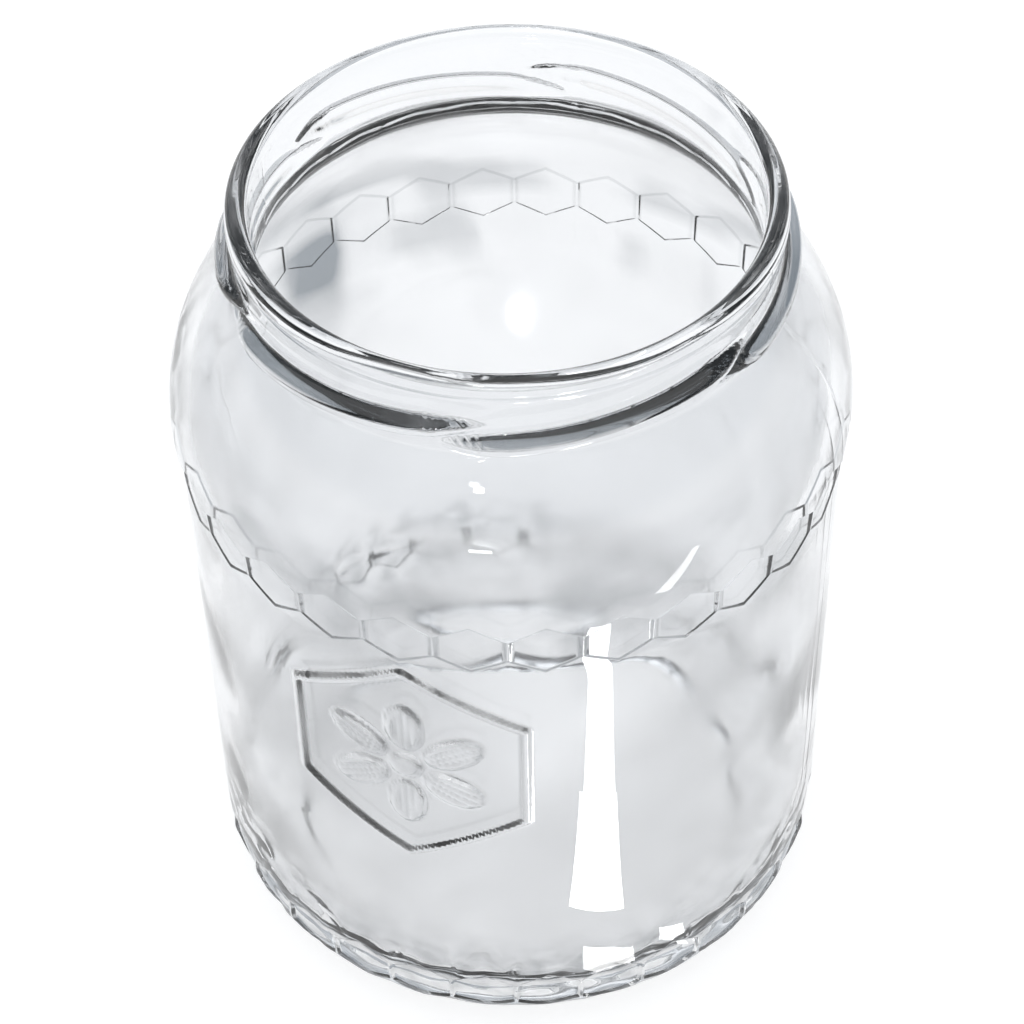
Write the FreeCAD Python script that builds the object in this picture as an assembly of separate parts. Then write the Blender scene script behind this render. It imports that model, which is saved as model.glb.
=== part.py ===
import FreeCAD, Part
import math
import os

# Honey jar of clear pressed glass, one piece, open at the top.  Millimetres, +Z up, foot on z = 0.
# The front is -Y.  Azimuths are measured from the front and grow toward +X.

# Whole jar
HEIGHT = 130.0               # foot to sealing rim
BODY_DIAMETER = 97.0         # smooth panel between the two honeycomb bands
WALL = 2.4                   # body and shoulder
FLOOR = 4.0                  # glass under the middle of the inside floor
FLOOR_SAG = 1.2              # how far the inside floor domes up
FLOOR_FILLET = 9.0           # inside floor into the wall

# Foot
HEEL_RADIUS = 9.7            # outside heel
RING_WIDTH = 2.2             # flat ring the jar stands on
RING_STEP = 1.0              # step up from the ring to the hollow underside
PUSH_UP = 3.2                # hollow underside at the middle

# Shoulder
SHOULDER_DROP = 36.2         # rim to the widest level of the shoulder
SHOULDER_BULGE = 0.9         # widest level stands out from the panel
SHOULDER_LIP = 0.25          # lower edge of the shoulder stands out from the upper band
NECK_DROP = 12.5             # rim to the level where shoulder and neck would meet
NECK_FILLET = 2.5            # outside, neck into shoulder
BORE_FILLET = 3.5            # inside, neck into shoulder

# Neck finish
NECK_DIAMETER = 76.4
NECK_WALL = 2.7
RIM_BEAD = 0.4               # bead round the rim stands out from the neck
RIM_BEAD_HEIGHT = 2.4
RIM_ROUND = 1.3              # both edges of the sealing rim

# Twist-off thread: short lugs that fall as the lid turns on
LUG_COUNT = 6
LUG_HEIGHT = 2.3             # crest above the neck
LUG_FOOT_ABOVE = 1.5         # centre line to the foot of the steep upper flank
LUG_FOOT_BELOW = 2.3         # centre line to the foot of the sloping lower flank
LUG_CREST_ABOVE = 0.85       # centre line to the upper edge of the crest
LUG_CREST_BELOW = 0.6        # centre line to the lower edge of the crest
LUG_CHAMFER = 0.45           # blunts both edges of the crest
LUG_START = 7.5              # rim to the high end
LUG_END = 11.2               # rim to the low end
LUG_SPAN = 69.0              # degrees
LUG_TAPER = 15.0             # degrees of taper at each end
LUG_TIP_HEIGHT = 0.06        # share of the height left at the tips
LUG_TIP_WIDTH = 0.44         # share of the width left at the tips
LUG_AZIMUTH = -5.3           # high end of the first lug
LUG_SECTIONS = 14

# Honeycomb bands: one row of sunk cells under the shoulder, one round the heel
CELL_COUNT = 30
CELL_HEIGHT = 9.7
CELL_POINT = 2.6             # height of the pointed part above and below the straight side
CELL_RIB = 0.7               # between neighbours
CELL_DEPTH = 0.3             # at the top of the upper band
CELL_RUN_OUT = 0.15          # at the bottom of the upper band
CELL_AZIMUTH = 4.6           # middle of the first cell
HEEL_CELL_DEPTH = 0.45
CUTTER_REACH = 3.0           # cell cutters run this far either side of the panel
UPPER_BAND_DROP = 39.4       # rim to the middle of the upper band
HEEL_BAND_LEVEL = 9.6        # foot to the middle of the heel band

# Badge: a raised hexagonal frame round a six-petalled blossom
BADGE_RADIUS = 21.0          # middle to the corners
BADGE_FRAME = 1.7            # corner of the frame to the corner inside it
BADGE_HEIGHT = 0.6
BADGE_SIDES = 6
BADGE_TURN = 30.0            # degrees from level to the first corner and the first petal
BADGE_AZIMUTH = -19.3
BADGE_DROP = 66.5            # rim to the middle
PETAL_COUNT = 6
PETAL_LENGTH = 9.6
PETAL_WIDTH = 5.8
PETAL_GAP = 0.7              # between the heart and the petals
HEART_DIAMETER = 5.2

body_r = BODY_DIAMETER / 2
neck_r = NECK_DIAMETER / 2
bore_r = neck_r - NECK_WALL
inner_r = body_r - WALL
bulge_r = body_r + SHOULDER_BULGE
lip_r = bulge_r - SHOULDER_LIP
shoulder_z = HEIGHT - SHOULDER_DROP
upper_band_z = HEIGHT - UPPER_BAND_DROP
cell_half = math.pi * body_r / CELL_COUNT
cell_straight = CELL_HEIGHT / 2 - CELL_POINT


def at(r, z):
    """A point of the profile."""
    return FreeCAD.Vector(r, 0, z)


def turned(azimuth, r, across, z):
    """A point given in the plane square to the radius at an azimuth."""
    a = math.radians(azimuth)
    x = r * math.sin(a) + across * math.cos(a)
    y = -r * math.cos(a) + across * math.sin(a)
    return FreeCAD.Vector(x, y, z)


def outward(azimuth, length):
    return turned(azimuth, length, 0, 0)


def polygon(points):
    return Part.Face(Part.makePolygon(points + points[:1]))


def on_circle(centre, radius, direction):
    return centre + direction.normalize() * radius


def arc(centre, radius, start, end):
    """The short arc from start to end about a centre."""
    middle = on_circle(centre, radius, (start + end) * 0.5 - centre)
    return Part.Arc(start, middle, end).toShape()


def blend(wall_r, side, radius, centre, arc_radius):
    """Fillet between an upright wall and a circle below it: its centre, its points on both."""
    r = wall_r + side * radius
    rise = math.sqrt((arc_radius + radius) ** 2 - (r - centre.x) ** 2)
    middle = at(r, centre.z + rise)
    return middle, at(wall_r, middle.z), on_circle(middle, radius, centre - middle)


def chain(points):
    return [Part.makeLine(a, b) for a, b in zip(points, points[1:])]


def revolve(edges):
    face = Part.Face(Part.Wire(Part.__sortEdges__(edges)))
    return face.revolve(FreeCAD.Vector(), FreeCAD.Vector(0, 0, 1), 360)


def outside_edges():
    """Foot, heel, panel, shoulder, neck and rim, from the hollow underside to the sealing face."""
    heel = at(body_r - HEEL_RADIUS, HEEL_RADIUS)
    ring_in = heel.x - RING_WIDTH
    step = at(ring_in - RING_STEP, RING_STEP)
    sag = PUSH_UP - RING_STEP
    dome_r = (step.x ** 2 + sag ** 2) / (2 * sag)
    top = at(0, PUSH_UP)
    edges = [arc(at(0, PUSH_UP - dome_r), dome_r, top, step)]
    edges += chain([step, at(ring_in, 0), at(heel.x, 0)])
    edges.append(arc(heel, HEEL_RADIUS, at(heel.x, 0), at(body_r, heel.z)))

    reach = bulge_r - neck_r
    rise = SHOULDER_DROP - NECK_DROP
    shoulder_r = (reach ** 2 + rise ** 2) / (2 * reach)
    centre = at(bulge_r - shoulder_r, shoulder_z)
    fillet, on_neck, on_shoulder = blend(neck_r, 1, NECK_FILLET, centre, shoulder_r)
    widest = at(bulge_r, shoulder_z)
    band_foot = at(body_r, upper_band_z - CELL_HEIGHT / 2)
    band_middle = at((body_r + lip_r) / 2, upper_band_z)
    edges += chain([at(body_r, heel.z), band_foot, band_middle, at(bulge_r, upper_band_z), widest])
    edges.append(arc(centre, shoulder_r, widest, on_shoulder))
    edges.append(arc(fillet, NECK_FILLET, on_shoulder, on_neck))

    rim_r = neck_r + RIM_BEAD
    bead_z = HEIGHT - RIM_BEAD_HEIGHT
    round_z = HEIGHT - RIM_ROUND
    outer = at(rim_r - RIM_ROUND, round_z)
    inner = at(bore_r + RIM_ROUND, round_z)
    edges += chain([on_neck, at(neck_r, bead_z - RIM_BEAD), at(rim_r, bead_z), at(rim_r, round_z)])
    edges.append(arc(outer, RIM_ROUND, at(rim_r, round_z), at(outer.x, HEIGHT)))
    edges += chain([at(outer.x, HEIGHT), at(inner.x, HEIGHT)])
    edges.append(arc(inner, RIM_ROUND, at(inner.x, HEIGHT), at(bore_r, round_z)))
    return edges, centre, top


def inside_edges(centre):
    """Bore, inside of the shoulder, wall and floor, down from the sealing face."""
    hollow_r = inner_r - centre.x
    fillet, on_bore, on_shoulder = blend(bore_r, 1, BORE_FILLET, centre, hollow_r)
    widest = at(inner_r, shoulder_z)
    edges = chain([at(bore_r, HEIGHT - RIM_ROUND), on_bore])
    edges.append(arc(fillet, BORE_FILLET, on_bore, on_shoulder))
    edges.append(arc(centre, hollow_r, on_shoulder, widest))

    top = at(0, PUSH_UP + FLOOR)
    floor_r = inner_r - FLOOR_FILLET
    dome_r = (floor_r ** 2 + FLOOR_SAG ** 2) / (2 * FLOOR_SAG)
    dome = at(0, top.z - dome_r)
    fillet, on_wall, on_floor = blend(inner_r, -1, FLOOR_FILLET, dome, dome_r)
    edges += chain([widest, on_wall])
    edges.append(arc(fillet, FLOOR_FILLET, on_wall, on_floor))
    edges.append(arc(dome, dome_r, on_floor, top))
    return edges, top


def blank():
    """The turned body without thread or relief."""
    outside, centre, underside = outside_edges()
    inside, floor = inside_edges(centre)
    return revolve(outside + inside + chain([floor, underside]))


def lug_section(azimuth, depth, swell):
    """Blunt ridge across the lug; swell runs from nearly 0 at the tips to 1."""
    widen = LUG_TIP_WIDTH + (1 - LUG_TIP_WIDTH) * swell
    height = LUG_HEIGHT * swell
    blunt = LUG_CHAMFER * swell
    root_r = neck_r - NECK_WALL / 3
    outline = [
        (root_r, LUG_FOOT_ABOVE * widen),
        (neck_r + height - blunt, LUG_CREST_ABOVE * widen),
        (neck_r + height, LUG_CREST_ABOVE * widen - blunt),
        (neck_r + height, blunt - LUG_CREST_BELOW * widen),
        (neck_r + height - blunt, -LUG_CREST_BELOW * widen),
        (root_r, -LUG_FOOT_BELOW * widen),
    ]
    points = [turned(azimuth, r, 0, HEIGHT - depth + up) for r, up in outline]
    return Part.makePolygon(points + points[:1])


def lug(azimuth):
    """One tapered thread lug, falling clockwise as seen from above."""
    sections = []
    for i in range(LUG_SECTIONS + 1):
        t = i / LUG_SECTIONS
        near_end = min(t, 1 - t) * LUG_SPAN / LUG_TAPER
        swell = max(LUG_TIP_HEIGHT, math.sin(math.pi / 2 * min(1, near_end)))
        depth = LUG_START + (LUG_END - LUG_START) * t
        sections.append(lug_section(azimuth - LUG_SPAN * t, depth, swell))
    return Part.makeLoft(sections, True)


def cell_top(half):
    """The pointed upper edge of a cell of a given half width."""
    shoulder = cell_straight + CELL_POINT * (1 - half / cell_half)
    return [(-half, shoulder), (0, cell_straight + CELL_POINT), (half, shoulder)]


def cell_prism(azimuth, level, outline):
    """Prism square to the radius, right through the surface of the panel."""
    start = body_r - CUTTER_REACH
    face = polygon([turned(azimuth, start, across, level + up) for across, up in outline])
    return face.extrude(outward(azimuth, 2 * CUTTER_REACH))


def around(count, first, make):
    return [make(first + 360 / count * i) for i in range(count)]


def cell_prisms(level, outline):
    return around(CELL_COUNT, CELL_AZIMUTH, lambda azimuth: cell_prism(azimuth, level, outline))


def band_core(low_depth, high_depth):
    """Glass behind the upper band, which leans out from the panel to the shoulder."""
    low_r = body_r - low_depth
    high_r = lip_r - high_depth
    middle_r = (low_r + high_r) / 2
    lean = high_r - low_r
    foot = FreeCAD.Vector(0, 0, upper_band_z - CELL_HEIGHT)
    return Part.makeCone(middle_r - lean, middle_r + lean, 2 * CELL_HEIGHT, foot)


def zigzag_cut():
    """Trims the lower edge of the shoulder bulge along the tops of the cells."""
    half = cell_half + SHOULDER_LIP
    tools = cell_prisms(upper_band_z, cell_top(half) + [(half, -cell_straight), (-half, -cell_straight)])
    return tools[0].multiFuse(tools[1:]).cut(band_core(0, 0))


def heel_core():
    """Glass behind the heel band."""
    heel = at(body_r - HEEL_RADIUS, HEEL_RADIUS)
    low = at(heel.x, HEEL_CELL_DEPTH)
    side = at(body_r - HEEL_CELL_DEPTH, heel.z)
    above = at(side.x, heel.z + CELL_HEIGHT)
    edges = chain([low, at(0, low.z), at(0, above.z), above, side])
    return revolve(edges + [arc(heel, HEEL_RADIUS - HEEL_CELL_DEPTH, low, side)])


def cell_cut(level, core):
    half = cell_half - CELL_RIB / 2
    top = cell_top(half)
    tools = cell_prisms(level, top + [(-across, -up) for across, up in top])
    return Part.makeCompound(tools).cut(core)


def relief(face):
    """A low pad of a flat outline, following the curve of the panel."""
    pad = face.extrude(outward(BADGE_AZIMUTH, body_r))
    sleeve = Part.makeCylinder(body_r + BADGE_HEIGHT, HEIGHT)
    hollow = Part.makeCylinder(body_r - BADGE_HEIGHT, HEIGHT)
    return pad.common(sleeve.cut(hollow))


def badge_turns(count):
    return [BADGE_TURN + 360 / count * i for i in range(count)]


def badge_point(across, up):
    return turned(BADGE_AZIMUTH, body_r / 2, across, HEIGHT - BADGE_DROP + up)


def badge_hexagon(radius):
    turns = [math.radians(turn) for turn in badge_turns(BADGE_SIDES)]
    return polygon([badge_point(radius * math.cos(turn), radius * math.sin(turn)) for turn in turns])


def badge_ellipse(distance, turn, length, width):
    """Oval whose long axis points away from the middle of the badge."""
    a = math.radians(turn)
    along = badge_point(math.cos(a), math.sin(a)) - badge_point(0, 0)
    across = badge_point(-math.sin(a), math.cos(a)) - badge_point(0, 0)
    centre = badge_point(0, 0) + along * distance
    ellipse = Part.Ellipse(centre + along * (length / 2), centre + across * (width / 2), centre)
    return Part.Face(Part.Wire(ellipse.toShape()))


def badge():
    frame = badge_hexagon(BADGE_RADIUS).cut(badge_hexagon(BADGE_RADIUS - BADGE_FRAME))
    pads = [relief(frame)]
    distance = HEART_DIAMETER / 2 + PETAL_GAP + PETAL_LENGTH / 2
    for turn in badge_turns(PETAL_COUNT):
        pads.append(relief(badge_ellipse(distance, turn, PETAL_LENGTH, PETAL_WIDTH)))
    heart = Part.Circle(badge_point(0, 0), outward(BADGE_AZIMUTH, 1), HEART_DIAMETER / 2)
    pads.append(relief(Part.Face(Part.Wire(heart.toShape()))))
    return pads


def jar():
    shape = blank().cut(zigzag_cut())
    shape = shape.cut(cell_cut(upper_band_z, band_core(CELL_RUN_OUT, CELL_DEPTH)))
    shape = shape.cut(cell_cut(HEEL_BAND_LEVEL, heel_core()))
    return shape.multiFuse(around(LUG_COUNT, LUG_AZIMUTH, lug) + badge())


os.makedirs("parts", exist_ok=True)
solid = jar().Solids[0]
solid.exportStep("parts/jar.step")
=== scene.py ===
import bmesh
import bpy
import math
import numpy as np
from mathutils import Matrix, Vector, noise


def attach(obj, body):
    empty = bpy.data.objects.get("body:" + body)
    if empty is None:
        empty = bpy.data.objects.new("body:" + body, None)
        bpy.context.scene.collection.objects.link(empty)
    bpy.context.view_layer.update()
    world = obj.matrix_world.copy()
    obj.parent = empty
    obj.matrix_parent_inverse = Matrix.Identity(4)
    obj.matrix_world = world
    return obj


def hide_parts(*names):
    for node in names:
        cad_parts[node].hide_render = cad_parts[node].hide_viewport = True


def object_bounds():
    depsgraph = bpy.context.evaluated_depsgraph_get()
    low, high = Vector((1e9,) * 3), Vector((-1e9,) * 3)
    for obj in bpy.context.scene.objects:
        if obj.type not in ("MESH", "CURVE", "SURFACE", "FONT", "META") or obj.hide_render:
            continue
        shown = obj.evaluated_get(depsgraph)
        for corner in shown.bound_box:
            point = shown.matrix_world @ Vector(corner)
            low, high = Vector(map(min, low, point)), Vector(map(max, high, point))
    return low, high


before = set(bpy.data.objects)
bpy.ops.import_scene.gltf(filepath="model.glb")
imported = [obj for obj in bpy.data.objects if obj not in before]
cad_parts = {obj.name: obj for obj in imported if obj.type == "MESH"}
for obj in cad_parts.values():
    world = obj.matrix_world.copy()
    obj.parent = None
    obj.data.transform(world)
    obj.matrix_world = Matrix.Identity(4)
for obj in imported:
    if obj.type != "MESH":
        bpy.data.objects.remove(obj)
cad_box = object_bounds()
MM = 0.001

# ---------------------------------------------------------------- sizes in millimetres
# height and greatest width, from the frame
H = round(cad_box[1][2] / MM, 1)
BULGE = round(cad_box[1][1] / MM, 1)
# body: outside radius of the plain wall, wall and floor
R = BULGE - 0.9
WALL, FLOOR, FLOOR_SAG, FLOOR_FILLET = 2.4, 4.0, 1.2, 9.0
INNER = R - WALL
# foot: radius of the heel, width of the standing ring, step inside it, height of the hollow
HEEL, RING, STEP, PUSH_UP = 9.7, 2.2, 1.0, 3.2
# shoulder: its widest level, and how far it stands over the cells below it
Z0 = H - 36.2
LIP = 0.25
# neck and rim
NECK, NECK_WALL, NECK_DROP, NECK_FILLET, BORE_FILLET = 38.2, 2.7, 12.5, 2.5, 3.5
BORE = NECK - NECK_WALL
BEAD, BEAD_H, ROUND = 0.4, 2.4, 1.3
# thread: number of lugs, azimuth where one starts, degrees it spans and tapers over
LUGS, LUG_AZ, LUG_SPAN, LUG_TAPER = 6, -5.3, 69.0, 15.0
# each lug falls from the first depth below the rim to the second
LUG_START, LUG_END, LUG_HEIGHT = 7.5, 11.2, 2.3
THREAD_FOOT = H - 14.5
# honeycomb bands: middle levels, height, points and ribs of the cells, depths of their floors
CELLS, CELL_AZ, CELL_H, POINT, RIB = 30, 4.6, 9.7, 2.6, 0.7
BAND, HEEL_BAND = H - 39.4, 9.6
BETWEEN_BANDS = 60
DEPTH, RUN_OUT, HEEL_DEPTH = 0.3, 0.15, 0.45
HALF = math.pi * R / CELLS
STRAIGHT = CELL_H / 2 - POINT
EDGE = 0.2
# badge: a raised hexagon frame with a blossom of petals round a heart
BADGE_AZ, BADGE_Z, BADGE_R, BADGE_FRAME, BADGE_H = -19.3, H - 66.5, 21.0, 1.7, 0.6
BADGE_FLAT = BADGE_R * math.sqrt(3) / 2
PETALS, PETAL_OUT, PETAL_LONG, PETAL_WIDE, HEART = 6, 8.1, 4.8, 2.9, 2.6
VEIN_GAP, VEIN_DEPTH = 1.1, 0.26
# mould seams, opposite each other
SEAM_AZ = CELL_AZ + 6 * 360 / CELLS - 180 / CELLS
SEAM_H, SEAM_WIDE = 0.05, 0.22
# ripples pressed into the glass round the heel
HAMMERED = 0.22
# painted shade on the inner surface: a darker painted cloud at the back left, and the level where flat
# painted clouds give way to tall ones
SHADE_PATCH_AZ, SHADE_PATCH_Z, SHADE_PATCH_WIDE, SHADE_PATCH_TALL, SHADE_PATCH_DARK = -141.0, 84.0, 7.5, 16, 0.62
CLOUD_BREAK = 92


def ramp(x):
    """Smooth step from 0 to 1."""
    x = np.clip(x, 0, 1)
    return x * x * (3 - 2 * x)


# ---------------------------------------------------------------- turned profile
REACH, RISE = BULGE - NECK, H - NECK_DROP - Z0
SHOULDER = (REACH ** 2 + RISE ** 2) / (2 * REACH)
CX = BULGE - SHOULDER


def blend(wall, side, radius, cx, cz, arc):
    """Centre of a fillet between an upright wall and an arc round (cx, cz)."""
    x = wall + side * radius
    return x, cz + math.sqrt((arc + radius) ** 2 - (x - cx) ** 2)


NFX, NFZ = blend(NECK, 1, NECK_FILLET, CX, Z0, SHOULDER)
NECK_TANGENT = Z0 + (NFZ - Z0) * SHOULDER / (SHOULDER + NECK_FILLET)


def shoulder_r(z):
    """Outside radius from the widest level of the shoulder up to the neck."""
    arc = CX + np.sqrt(np.maximum(SHOULDER ** 2 - np.maximum(z - Z0, 0) ** 2, 0))
    fillet = NFX - np.sqrt(np.maximum(NECK_FILLET ** 2 - (z - NFZ) ** 2, 0))
    return np.where(z < NECK_TANGENT, arc, np.where(z < NFZ, fillet, NECK))


def lug_height(az, z):
    """Height of the thread lugs above the neck."""
    out = np.zeros_like(z)
    for i in range(LUGS):
        t = np.mod(LUG_AZ + 360 / LUGS * i - az, 360) / LUG_SPAN
        swell = np.sin(np.pi / 2 * np.clip(np.minimum(t, 1 - t) * LUG_SPAN / LUG_TAPER, 0, 1))
        up = z - (H - (LUG_START + (LUG_END - LUG_START) * t))
        foot = np.where(up > 0, 1.75, 2.3)
        crest = np.where(up > 0, 0.55, 0.4)
        widen = 0.44 + 0.56 * swell
        side = ramp((foot * widen - np.abs(up)) / ((foot - crest) * widen))
        out = np.maximum(out, np.where(t <= 1, LUG_HEIGHT * swell * side, 0))
    return out


def lug_slope(az, p):
    """The rows of the grid run along the lugs and step back up between them."""
    turn = np.mod(LUG_AZ - az, 360 / LUGS)
    step_back = 12.0
    along = 360 / LUGS - step_back
    share = np.where(turn < step_back, turn / step_back, 1 - (turn - step_back) / along)
    fall = (LUG_END - LUG_START) * along / LUG_SPAN
    strength = ramp((H - 3.2 - p) / 2.5) * ramp((p - (H - 17)) / 3)
    return fall * (share - 0.5) * strength


# ---------------------------------------------------------------- badge relief
def hexagon_distance(x, y):
    """Distance from the badge's middle, equal all along a hexagon."""
    return np.maximum(np.abs(x), np.abs(x) / 2 + np.abs(y) * math.sqrt(3) / 2)


def petal(i, x, y):
    """Place in petal i, from 0 at its rim to 1 at its middle, and distance to its nearest vein."""
    a = math.radians(30 + 360 / PETALS * i)
    along = x * math.cos(a) + y * math.sin(a) - PETAL_OUT
    across = -x * math.sin(a) + y * math.cos(a)
    place = 1 - (along / PETAL_LONG) ** 2 - (across / PETAL_WIDE) ** 2
    return place, np.minimum(np.abs(across), np.abs(np.abs(across) - VEIN_GAP - 0.05 * along))


def badge_height(x, y):
    """Raised frame and a plain blossom, as a height over the panel."""
    d = hexagon_distance(x, y)
    slope = 0.7
    out = BADGE_H * ramp((d - (BADGE_FLAT - BADGE_FRAME)) / slope) * ramp((BADGE_FLAT - d) / slope)
    for i in range(PETALS):
        place, line = petal(i, x, y)
        vein = VEIN_DEPTH * ramp(1 - line / 0.4) * ramp(place * 2)
        out = np.maximum(out, BADGE_H * np.sqrt(np.clip(place * 2.2, 0, 1)) - vein)
    heart = 1 - (x * x + y * y) / HEART ** 2
    return np.maximum(out, BADGE_H * np.sqrt(np.clip(heart * 1.6, 0, 1)))


# ---------------------------------------------------------------- outside surface
def band_edges(band):
    """Upper and lower edge of a band's cells, halfway up their points."""
    return band + STRAIGHT + POINT / 2, band - STRAIGHT - POINT / 2


def zigzag(p, band):
    """How far a row of the grid follows the pointed cell edges, from -1 to 1."""
    top, low = band_edges(band)
    inside = (p - band) / (top - band)
    above = 1 - ramp((p - top) / 5.0)
    below = -(1 - ramp((low - p) / 4.0))
    return np.where(p > top, above, np.where(p < low, below, inside))


def cell_depth(u, p, band, top_depth, low_depth):
    """Depth of the cell floors; it may run out towards the lower edge."""
    top, low = band_edges(band)
    across = ramp((HALF - RIB / 2 + EDGE / 2 - np.abs(u)) / EDGE)
    up = ramp((top - p) / EDGE) * ramp((p - low) / EDGE)
    return (low_depth + (top_depth - low_depth) * np.clip((p - low) / (top - low), 0, 1)) * across * up


def band_r(z):
    """The upper band leans out from the panel to the shoulder."""
    return R + (BULGE - LIP - R) * np.clip((z - BAND) / CELL_H + 0.5, 0, 1)


def outside(az, u, p):
    """Radius and height of the grid point at azimuth az, place u in its cell and row p."""
    follow = POINT / 2 * (1 - 2 * np.abs(u) / HALF)
    high = p > BETWEEN_BANDS
    z = p + follow * (zigzag(p, BAND) * high + zigzag(p, HEEL_BAND) * ~high) + lug_slope(az, p)
    lip = ramp((p - (band_edges(BAND)[0] - EDGE)) / EDGE)
    r = np.where(high, band_r(z) + (shoulder_r(z) - band_r(z)) * lip, R)
    angle = np.arcsin(np.clip((HEEL - z) / HEEL, 0, 1))
    deep = cell_depth(u, p, BAND, DEPTH, RUN_OUT)
    deep += cell_depth(u, p, HEEL_BAND, HEEL_DEPTH, HEEL_DEPTH)
    heel_r = R - HEEL + (HEEL - deep) * np.cos(angle)
    heel_z = HEEL - (HEEL - deep) * np.sin(angle)
    on_heel = z < HEEL
    r = np.where(on_heel, heel_r, r - deep)
    z = np.where(on_heel, heel_z, z)
    r = r + np.where(p > THREAD_FOOT, lug_height(az, z), 0)
    x = np.radians(np.mod(az - BADGE_AZ + 180, 360) - 180) * R
    r = r + np.where(np.abs(z - BADGE_Z) < BADGE_R + 1, badge_height(x, z - BADGE_Z), 0)
    gap = np.radians(np.abs(np.mod(az - SEAM_AZ + 90, 180) - 90)) * R
    seam = SEAM_H * np.exp(-(gap / SEAM_WIDE) ** 2) * ramp((p - 12) / 4) * ramp((H - 3 - p) / 2)
    hammered = HAMMERED * ramp((18 - z) / 4)
    dent = [hammered[j] * noise.noise(Vector((az[j] / 4.6, z[j] / 3.0, 5))) if hammered[j] else 0
            for j in range(len(az))]
    return r + seam + np.array(dent) * ramp((z - 0.5) / 3), z


# ---------------------------------------------------------------- rows and columns of the grid
def steps(a, b, size):
    """Even places from a up to, and without, b."""
    n = max(1, round(abs(b - a) / size))
    return [a + (b - a) * i / n for i in range(n)]


def band_rows(band, above, below):
    """Rows of a honeycomb band, close together at the edges of its cells."""
    top, low = band_edges(band)
    rows = steps(above, top + 0.5, 1.3) + [top + 0.5, top + 0.15, top, top - EDGE, top - EDGE - 0.2]
    rows += steps(top - 1.2, low + 1.2, 1.0) + [low + 1.2, low + EDGE + 0.2, low + EDGE, low]
    return rows + [low - 0.15, low - 0.5] + steps(low - 1.2, below, 1.2)


def outside_rows():
    """From the underside of the bead down to the heel."""
    thread_top, thread_low, neck_low = H - 5.5, H - 14.2, H - 18
    band_low, badge_low = H - 46.5, BADGE_Z - BADGE_R - 1.5
    ripples, heel_top, heel_low = 24, 18, 3.2
    rows = steps(H - BEAD_H - BEAD, thread_top, 0.8) + steps(thread_top, thread_low, 0.28)
    rows += steps(thread_low, neck_low, 0.6) + band_rows(BAND, neck_low, band_low)
    rows += steps(band_low, badge_low, 1.45) + steps(badge_low, ripples, 3.0)
    return rows + steps(ripples, heel_top, 1.2) + band_rows(HEEL_BAND, heel_top, heel_low) + [heel_low]


def columns():
    """Azimuth of each column and its place across its cell."""
    places = [0, 1.5, 3.0, 4.1, HALF - RIB / 2 - EDGE / 2, HALF - RIB / 2 + EDGE / 2]
    places = [-p for p in reversed(places[1:])] + places + [HALF]
    az, u = [], []
    for k in range(CELLS):
        for p in places:
            az.append(CELL_AZ + 360 / CELLS * k + math.degrees(p / R))
            u.append(p)
    return np.array(az), np.array(u)


def arc_points(cx, cz, radius, start, end, n):
    """n points of an arc round (cx, cz), between two angles in degrees."""
    return [(cx + radius * math.cos(math.radians(a)), cz + radius * math.sin(math.radians(a)))
            for a in np.linspace(start, end, n)]


def rim_rows():
    """From the middle of the sealing face out and down to the underside of the bead."""
    rim = NECK + BEAD
    rows = [(rim - ROUND - 0.35, H)] + arc_points(rim - ROUND, H - ROUND, ROUND, 90, 0, 7)
    return rows + [(rim, H - BEAD_H + 0.5), (rim, H - BEAD_H + 0.2), (rim - 0.1, H - BEAD_H - 0.05)]


def under_rows():
    """Below the heel band: heel, ring, step and hollow underside."""
    first = math.degrees(math.asin((HEEL - 2.4) / HEEL))
    rows = arc_points(R - HEEL, HEEL, HEEL, -first, -90, 6)
    ring = R - HEEL - RING
    rows += [(ring + 1.4, 0), (ring + 0.25, 0), (ring - 0.2, 0.2), (ring - 0.8, 0.8)]
    edge = ring - STEP
    sag = PUSH_UP - STEP
    for r in steps(edge, 1.5, 6.0):
        rows.append((r, STEP + sag * (1 - (r / edge) ** 2)))
    return rows


def inside_rows():
    """From the sealing face down the bore, shoulder and wall to the floor."""
    hollow = INNER - CX
    fx, fz = blend(BORE, 1, BORE_FILLET, CX, Z0, hollow)
    turn = math.degrees(math.atan2(fz - Z0, fx - CX))
    rows = [(BORE + ROUND + 0.1, H)] + arc_points(BORE + ROUND, H - ROUND, ROUND, 90, 180, 6)
    rows += [(BORE, z) for z in steps(H - 2.2, fz, 2.6)]
    rows += arc_points(fx, fz, BORE_FILLET, 180, 180 + turn, 7)
    rows += arc_points(CX, Z0, hollow, turn, 0, 16)[1:]
    top = PUSH_UP + FLOOR
    dome = ((INNER - FLOOR_FILLET) ** 2 + FLOOR_SAG ** 2) / (2 * FLOOR_SAG)
    gx, gz = blend(INNER, -1, FLOOR_FILLET, 0, top - dome, dome)
    rows += [(INNER, z) for z in steps(Z0 - 3, 26, 3.6) + steps(26, gz, 1.5)]
    last = math.degrees(math.atan2(gx, gz - top + dome))
    rows += arc_points(gx, gz, FLOOR_FILLET, 0, -90 - last, 12)
    low = dome * math.sin(math.radians(last))
    for r in steps(low - 3, 1.5, 4.0):
        rows.append((r, top - dome + math.sqrt(dome * dome - r * r)))
    return rows


# ---------------------------------------------------------------- softness of the glass and its painted shade
def corner(r, z):
    """1 where the wall turns into the floor, inside."""
    return float(ramp((22 - z) / 6) * ramp((r - 33) / 6))


def inside_share(points, r, z):
    """How soft the inner surface is; the neck and the corner stay crisp at the front."""
    front = ramp((25 - points[:, 1]) / 30)
    neck = front * ramp((H - 6 - z) / 20) + (1 - front) * ramp((H - 3 - z) / 8)
    return neck * (1 - 0.85 * corner(r, z) * front)


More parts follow.
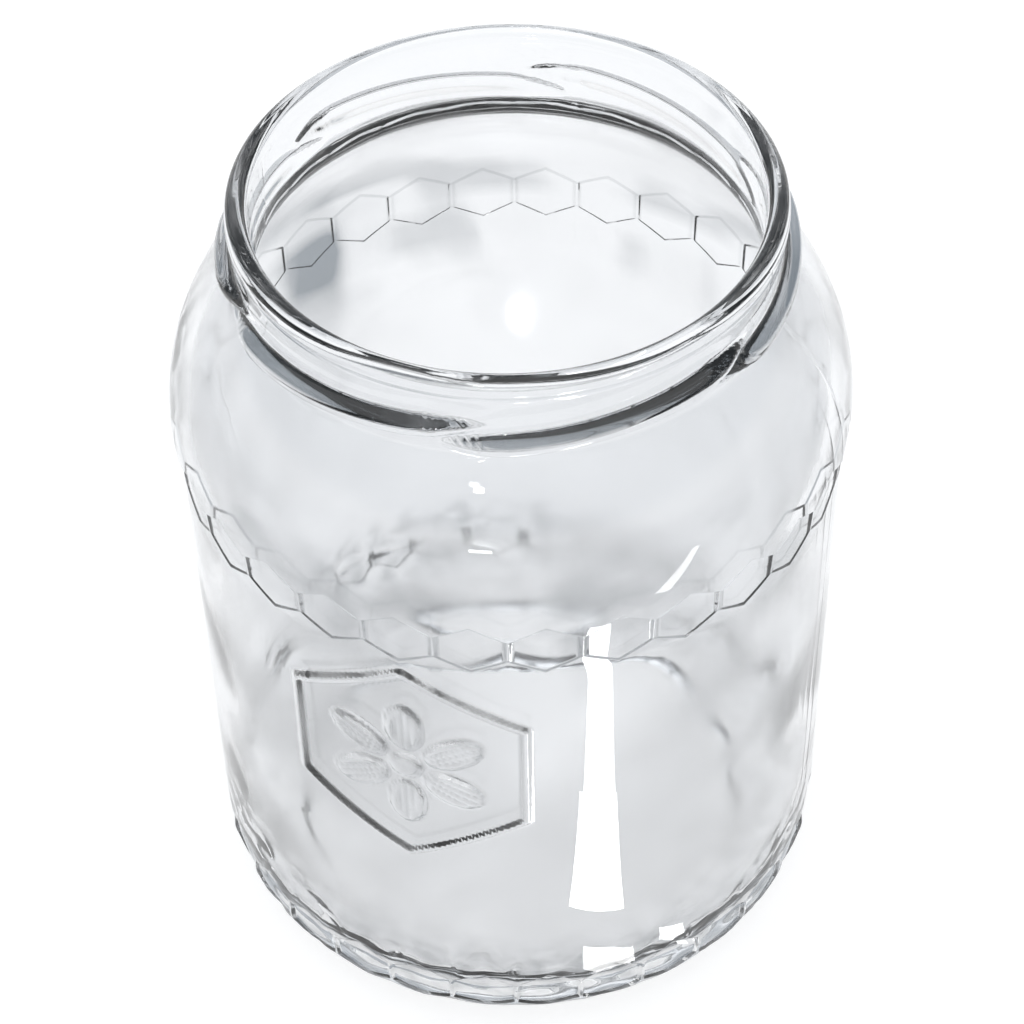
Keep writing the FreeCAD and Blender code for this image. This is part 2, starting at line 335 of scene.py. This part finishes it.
def painted_clouds(points, r, z):
    """Painted shade over the inner surface in soft grey clouds, with one darker painted cloud at the back
    left, and a painted mottle in the corner of the floor.
    """
    out = np.zeros(len(points))
    long, tall = (20, 8) if z > CLOUD_BREAK else (15, 20)
    amount = 0.06 + 0.40 * float(ramp((z - 72) / 14))
    high = float(ramp((z - 18) / 50) * ramp((H - 22 - z) / 10))
    for j, (x, y, _) in enumerate(points):
        n = noise.noise(Vector((x / long + 3, y / long, z / tall)))
        n += 0.6 * noise.noise(Vector((x / long * 2.4, y / long * 2.4 + 9, z / tall * 1.8)))
        away = abs((math.degrees(math.atan2(x, -y)) - SHADE_PATCH_AZ + 180) % 360 - 180) * 0.8
        ragged = 1 + 0.8 * noise.noise(Vector((x / 7, y / 7, z / 7)))
        shade_patch = math.exp(-(away / SHADE_PATCH_WIDE / ragged) ** 2 - ((z - SHADE_PATCH_Z) / SHADE_PATCH_TALL) ** 2)
        # painted shade: the grey of the clouds and of the darker patch at the back left
        cloud = 0.2 * amount + amount * float(ramp((n + 0.1) / 0.6)) + SHADE_PATCH_DARK * shade_patch
        # painted mottled shade in the corner of the floor
        fine = float(ramp(noise.noise(Vector((x / 3.2, y / 3.2, z / 2.6))) + 0.5))
        out[j] = high * cloud + 0.3 * fine * corner(r, z)
    return out


def edge_share(u, p):
    """Where the painted shade along the sharp edges of the upper band lies: its pointed upper edge, the
    ribs and the lower edge.
    """
    top, low = band_edges(BAND)
    reach, fade = EDGE / 2 + 0.16, 0.14
    upper = ramp((reach - np.abs(p - top + EDGE / 2)) / fade)
    lower = 0.7 * ramp((reach - np.abs(p - low - EDGE / 2)) / fade)
    rib = 0.6 * ramp((reach - np.abs(np.abs(u) - HALF + RIB / 2)) / fade) * (p < top) * (p > low)
    return np.maximum(np.maximum(upper, lower), rib)


def outside_painted_shade(az, u, p, r, z):
    """Painted shade along the sharp edges of the bands and along the lugs, stronger at the front, and a
    painted mottled shade in the ripples of the heel.
    """
    front = ramp((np.cos(np.radians(az)) + 0.5) / 1.1)
    # painted shade along the sharp band edges, stronger at the front
    out = edge_share(u, p) * (0.3 + 0.7 * front)
    # painted shade on the upper flanks of the lugs, stronger at the front
    if p > THREAD_FOOT:
        step = 0.25
        rise = (lug_height(az, z - step) - lug_height(az, z + step)) / (2 * step)
        out = np.maximum(out, (0.1 + 0.9 * front) * ramp((rise - 0.5) / 1.0))
    # painted shade: a noisy mottle over the heel, fading out above it
    if p < 24:
        mottle_noise = np.array([noise.noise(Vector((az[j] / 4.2, z[j] / 2.4, 2))) for j in range(len(az))])
        out = np.maximum(out, 0.46 * ramp(mottle_noise / 0.6 + 0.35) * ramp((22 - z) / 6))
    return out


def badge_painted_shade(x, y):
    """Painted shade over the panel inside the frame, along the frame's inner edge, round the petals and
    along their veins.
    """
    d = hexagon_distance(x, y)
    out = 0.12 * ramp((BADGE_FLAT - d) / 1.0)
    out += 0.2 * ramp(1 - abs(d - BADGE_FLAT + BADGE_FRAME) / 0.4)
    for i in range(PETALS):
        place, line = petal(i, x, y)
        rim = 0.45 * ramp(1 - abs(place - 0.08) / 0.2)
        out = max(out, rim, 0.4 * ramp(1 - line / 0.35) * ramp(place * 3))
    return float(out)


# ---------------------------------------------------------------- mesh of the jar
def wavy(point, size, amount, seed):
    x, y, z = point
    return amount * noise.noise(Vector((x / size + seed, y / size, z / size)))


def ring_points(az, r, z):
    a = np.radians(az)
    return np.stack([r * np.sin(a), -r * np.cos(a), z + 0 * a], -1)


def waved_points(az, r, z):
    """A ring of the inner surface, with slow waves, and finer ones in the corner of the floor."""
    points = ring_points(az, np.full(len(az), r), np.full(len(az), z))
    for p in points:
        push = wavy(p, 24, 0.38, 3) + wavy(p, 10, 0.05, 11) + wavy(p, 4.2, 0.65, 17) * corner(r, z)
        flat = math.hypot(p[0], p[1])
        p[:2] *= 1 + push * min(1, flat / 20) / flat
        p[2] += wavy(p, 20, 0.4, 7) * (z < 20)
    return points


def refine_badge(bm, painted_shade):
    """Finer grid under the badge, moved out to its relief."""
    def near_badge(face):
        c = face.calc_center_median()
        if abs(c.z - BADGE_Z) > BADGE_R + 1.2 or math.hypot(c.x, c.y) < R - 1:
            return False
        return abs(math.degrees(math.atan2(c.x, -c.y)) - BADGE_AZ) < 23.5

    patch = [f for f in bm.faces if near_badge(f)]
    edges = list({e for f in patch for e in f.edges})
    bmesh.ops.subdivide_edges(bm, edges=edges, cuts=2, use_grid_fill=True)
    for v in bm.verts:
        az = math.degrees(math.atan2(v.co.x, -v.co.y))
        level = v.co.z - BADGE_Z
        near = abs(level) < BADGE_R + 1.4 and abs(az - BADGE_AZ) < 24
        if near and math.hypot(v.co.x, v.co.y) > R - 1:
            x = math.radians(az - BADGE_AZ) * R
            r = R + float(badge_height(np.array(x), np.array(level)))
            v.co.x, v.co.y = r * math.sin(math.radians(az)), -r * math.cos(math.radians(az))
            # painted shade of the badge, set on the finer grid
            v[painted_shade] = max(v[painted_shade], badge_painted_shade(x, level))


def build_jar():
    """One closed mesh: rim, outside and underside, and the inside from the rim to the floor."""
    az, u = columns()
    count = len(az)
    bm = bmesh.new()
    within = bm.verts.layers.float.new("within")
    # painted shade per vertex: how far the glass colour is darkened toward slate
    painted_shade = bm.verts.layers.float.new("painted_shade")

    def ring(points, share, shade):
        made = [bm.verts.new(p) for p in points]
        for j, v in enumerate(made):
            v[within], v[painted_shade] = share[j], shade[j]
        return made

    def strip(a, b):
        for j in range(count):
            k = (j + 1) % count
            bm.faces.new((a[j], b[j], b[k], a[k]))

    # painted shade: the underside below the heel band is greyed a little
    none, under_painted_shade = np.zeros(count), np.full(count, 0.1)
    outer = [ring(ring_points(az, r, z), none, none) for r, z in rim_rows()]
    for p in outside_rows():
        r, z = outside(az, u, np.full(count, p))
        outer.append(ring(ring_points(az, r, z), none, outside_painted_shade(az, u, p, r, z)))
    outer += [ring(ring_points(az, r, z), none, under_painted_shade) for r, z in under_rows()]
    low = bm.verts.new((0, 0, PUSH_UP))
    inner = []
    for r, z in inside_rows():
        points = waved_points(az, r, z) if z < H - 2 else ring_points(az, r, z)
        inner.append(ring(points, inside_share(points, r, z), painted_clouds(points, r, z)))
    high = bm.verts.new((0, 0, PUSH_UP + FLOOR))
    high[within] = 1.0

    for a, b in zip(outer, outer[1:]):
        strip(a, b)
    strip(inner[0], outer[0])
    for a, b in zip(inner, inner[1:]):
        strip(b, a)
    for j in range(count):
        k = (j + 1) % count
        bm.faces.new((outer[-1][j], low, outer[-1][k]))
        bm.faces.new((inner[-1][k], high, inner[-1][j]))

    refine_badge(bm, painted_shade)
    bmesh.ops.scale(bm, vec=(MM, MM, MM), verts=bm.verts)
    bmesh.ops.recalc_face_normals(bm, faces=bm.faces)
    mesh = bpy.data.meshes.new("jar_glass")
    bm.to_mesh(mesh)
    bm.free()
    mesh.shade_smooth()
    return mesh


# ---------------------------------------------------------------- materials
def new_material(name):
    m = bpy.data.materials.new(name)
    m.use_nodes = True
    nodes, links = m.node_tree.nodes, m.node_tree.links
    return m, nodes, links, nodes["Principled BSDF"]


def attribute(nodes, name):
    node = nodes.new("ShaderNodeAttribute")
    node.attribute_name = name
    return node.outputs["Fac"]


def math_node(nodes, operation):
    node = nodes.new("ShaderNodeMath")
    node.operation = operation
    return node


def colour_ramp(nodes, first, last):
    node = nodes.new("ShaderNodeValToRGB")
    node.color_ramp.elements[0].color = (*first, 1)
    node.color_ramp.elements[1].color = (*last, 1)
    return node


def map_range(nodes, from_min, from_max, to_min, to_max):
    node = nodes.new("ShaderNodeMapRange")
    node.inputs["From Min"].default_value = from_min
    node.inputs["From Max"].default_value = from_max
    node.inputs["To Min"].default_value = to_min
    node.inputs["To Max"].default_value = to_max
    return node


def glass():
    """Clear glass, darkened toward slate by the painted-shade attribute, and softer where "within" says.
    """
    m, nodes, links, bsdf = new_material("clear_glass")
    bsdf.distribution = "GGX"
    bsdf.inputs["Transmission Weight"].default_value = 1.0
    bsdf.inputs["IOR"].default_value = 1.52
    bsdf.inputs["Specular IOR Level"].default_value = 0.5
    coord = nodes.new("ShaderNodeTexCoord")
    cloud = nodes.new("ShaderNodeTexNoise")
    cloud.inputs["Scale"].default_value = 60
    cloud.inputs["Detail"].default_value = 1
    links.new(coord.outputs["Object"], cloud.inputs["Vector"])

    vary = math_node(nodes, "MULTIPLY_ADD")
    vary.inputs[1].default_value = 0.05
    # painted shade: the glass colour runs from its clear tint to dark slate as the painted shade rises
    tint_and_painted_shade = colour_ramp(nodes, (0.905, 0.912, 0.922), (0.11, 0.128, 0.145))
    links.new(cloud.outputs["Fac"], vary.inputs[0])
    links.new(attribute(nodes, "painted_shade"), vary.inputs[2])
    links.new(vary.outputs["Value"], tint_and_painted_shade.inputs["Fac"])
    links.new(tint_and_painted_shade.outputs["Color"], bsdf.inputs["Base Color"])

    rough = map_range(nodes, 0.35, 0.65, 0.05, 0.22)
    soft = math_node(nodes, "MULTIPLY")
    links.new(cloud.outputs["Fac"], rough.inputs["Value"])
    links.new(rough.outputs["Result"], soft.inputs[0])
    links.new(attribute(nodes, "within"), soft.inputs[1])
    links.new(soft.outputs["Value"], bsdf.inputs["Roughness"])
    return m


def floor_material():
    """A mid grey floor, seen as white by the camera and in and through the glass, with a painted pool of
    light under the back of the jar's foot.
    """
    m, nodes, links, bsdf = new_material("pale_floor")
    coord = nodes.new("ShaderNodeTexCoord")
    mottle_noise = nodes.new("ShaderNodeTexNoise")
    mottle_noise.inputs["Scale"].default_value = 6
    tone = colour_ramp(nodes, (0.34, 0.34, 0.345), (0.36, 0.36, 0.36))
    links.new(coord.outputs["Object"], mottle_noise.inputs["Vector"])
    links.new(mottle_noise.outputs["Fac"], tone.inputs["Fac"])
    links.new(tone.outputs["Color"], bsdf.inputs["Base Color"])
    bsdf.inputs["Roughness"].default_value = 0.9
    bsdf.inputs["Specular IOR Level"].default_value = 0.1

    path = nodes.new("ShaderNodeLightPath")
    mirrored = math_node(nodes, "MAXIMUM")
    looked_at = math_node(nodes, "MAXIMUM")
    links.new(path.outputs["Is Glossy Ray"], mirrored.inputs[0])
    links.new(path.outputs["Is Transmission Ray"], mirrored.inputs[1])
    links.new(path.outputs["Is Camera Ray"], looked_at.inputs[0])
    links.new(mirrored.outputs["Value"], looked_at.inputs[1])

    # painted light: a brighter glowing patch on the floor where the jar gathers light, under the back of
    # its foot
    away = nodes.new("ShaderNodeVectorMath")
    away.operation = "DISTANCE"
    away.inputs[1].default_value = (0.004, 0.021, 0)
    painted_light_pool = map_range(nodes, 0.034, 0.006, 0.80, 1.10)
    painted_light_pool.interpolation_type = "SMOOTHSTEP"
    lift = math_node(nodes, "MULTIPLY")
    links.new(coord.outputs["Object"], away.inputs[0])
    links.new(away.outputs["Value"], painted_light_pool.inputs["Value"])
    links.new(looked_at.outputs["Value"], lift.inputs[0])
    links.new(painted_light_pool.outputs["Result"], lift.inputs[1])
    links.new(lift.outputs["Value"], bsdf.inputs["Emission Strength"])
    return m


# ---------------------------------------------------------------- pieces
def add_object(name, data):
    o = bpy.data.objects.new(name, data)
    bpy.context.scene.collection.objects.link(o)
    return o


def floor_mesh(side):
    mesh = bpy.data.meshes.new("floor")
    corners = [(-side, -side, 0), (side, -side, 0), (side, side, 0), (-side, side, 0)]
    mesh.from_pydata(corners, [], [(0, 1, 2, 3)])
    return mesh


jar = add_object("jar_glass", build_jar())
jar.data.materials.append(glass())
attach(jar, "root")
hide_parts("jar")

floor = add_object("floor", floor_mesh(4.0))
floor.location.z = -0.0002
floor.data.materials.append(floor_material())


# ---------------------------------------------------------------- light
def lamp(name, place, target, width, depth, watts):
    """An area lamp, unseen by the camera."""
    data = bpy.data.lights.new(name, "AREA")
    data.shape = "RECTANGLE"
    data.size, data.size_y = width, depth
    data.energy = watts
    o = add_object(name, data)
    o.location = place
    o.rotation_euler = (Vector(target) - Vector(place)).to_track_quat("-Z", "Y").to_euler()
    o.visible_camera = False
    return o


def floor_card(name, x, y, turn, width, length, watts):
    """A lamp lying on the floor and facing up, seen only as a reflection."""
    card = lamp(name, (x, y, 0.001), (x, y, 1), width, length, watts)
    card.rotation_euler = (math.pi, 0, math.radians(turn))
    card.visible_transmission = False
    return card


lamp("top_softbox", (-0.1, 0.25, 1.5), (0, 0, 0), 1.8, 1.8, 8)
lamp("window", (-0.2, -0.93, 0.81), (0, 0, 0.07), 0.06, 0.06, 0.4)
lamp("low_window", (-0.207, -1.17, 0.216), (0, 0, 0.07), 0.14, 0.03, 0.25)
# the tall bright strip in the front of the body
floor_card("near_strip", 0.0270, -0.0755, 30, 0.0165, 0.024, 0.014)
floor_card("middle_strip", 0.0408, -0.0985, 30, 0.014, 0.032, 0.0155)
floor_card("outer_strip", 0.0535, -0.121, 30, 0.022, 0.022, 0.0155)
# its ends in the heel, and its fainter partner to the right
floor_card("foot_strip", 0.0190, -0.0555, 30, 0.012, 0.0045, 0.0013)
floor_card("side_strip", 0.0330, -0.0480, 50, 0.006, 0.003, 0.0005)
floor_card("far_strip", 0.21, -0.19, 62.5, 0.016, 0.20, 0.07)
# the bright spot inside the mouth, which is seen through the back wall
floor_card("behind", 0.0020, 0.1190, 0, 0.003, 0.008, 0.00025).visible_transmission = True


def studio_world():
    """White up to just above the horizon, then a grey band, and paler again overhead."""
    world = bpy.data.worlds.new("studio")
    world.cycles.sampling_method = "NONE"
    world.use_nodes = True
    nodes, links = world.node_tree.nodes, world.node_tree.links
    background = nodes["Background"]
    coord = nodes.new("ShaderNodeTexCoord")
    split = nodes.new("ShaderNodeSeparateXYZ")
    shade = colour_ramp(nodes, (1, 1, 1), (0.80, 0.81, 0.83))
    for height, value in ((0.17, 1.0), (0.29, 0.46), (0.44, 0.38), (0.6, 0.48), (0.8, 0.62)):
        blue = 1 + 0.35 * (1 - value)
        stop = shade.color_ramp.elements.new(height)
        stop.color = (value, value * (1 + blue) / 2, value * blue, 1)
    links.new(coord.outputs["Generated"], split.inputs["Vector"])
    links.new(split.outputs["Z"], shade.inputs["Fac"])
    links.new(shade.outputs["Color"], background.inputs["Color"])
    background.inputs["Strength"].default_value = 1.0
    return world


bpy.context.scene.world = studio_world()


# ---------------------------------------------------------------- camera
def add_camera(aim, elevation, distance, roll):
    """A camera in front of the jar, looking down at aim."""
    data = bpy.data.cameras.new("camera")
    data.lens, data.sensor_width = 99.25, 36
    data.shift_x = -0.0016
    back = Vector((0, -math.cos(elevation), math.sin(elevation)))
    right = Vector((1, 0, 0))
    up = right.cross(-back)
    axis_x = right * math.cos(roll) + up * math.sin(roll)
    axis_y = -right * math.sin(roll) + up * math.cos(roll)
    turned = Matrix((axis_x, axis_y, back)).transposed().to_4x4()
    camera = add_object("camera", data)
    camera.matrix_world = Matrix.Translation(aim + back * distance) @ turned
    return camera


below_rim = 63.045
aim = Vector((0, 0, (H - below_rim) * MM))
bpy.context.scene.camera = add_camera(aim, math.radians(46.061), 0.42919, math.radians(-1.2193))

bpy.context.scene.view_settings.view_transform = "Standard"
cycles = bpy.context.scene.cycles
cycles.max_bounces, cycles.transmission_bounces = 8, 8
cycles.glossy_bounces, cycles.diffuse_bounces = 6, 1
cycles.use_light_tree = False
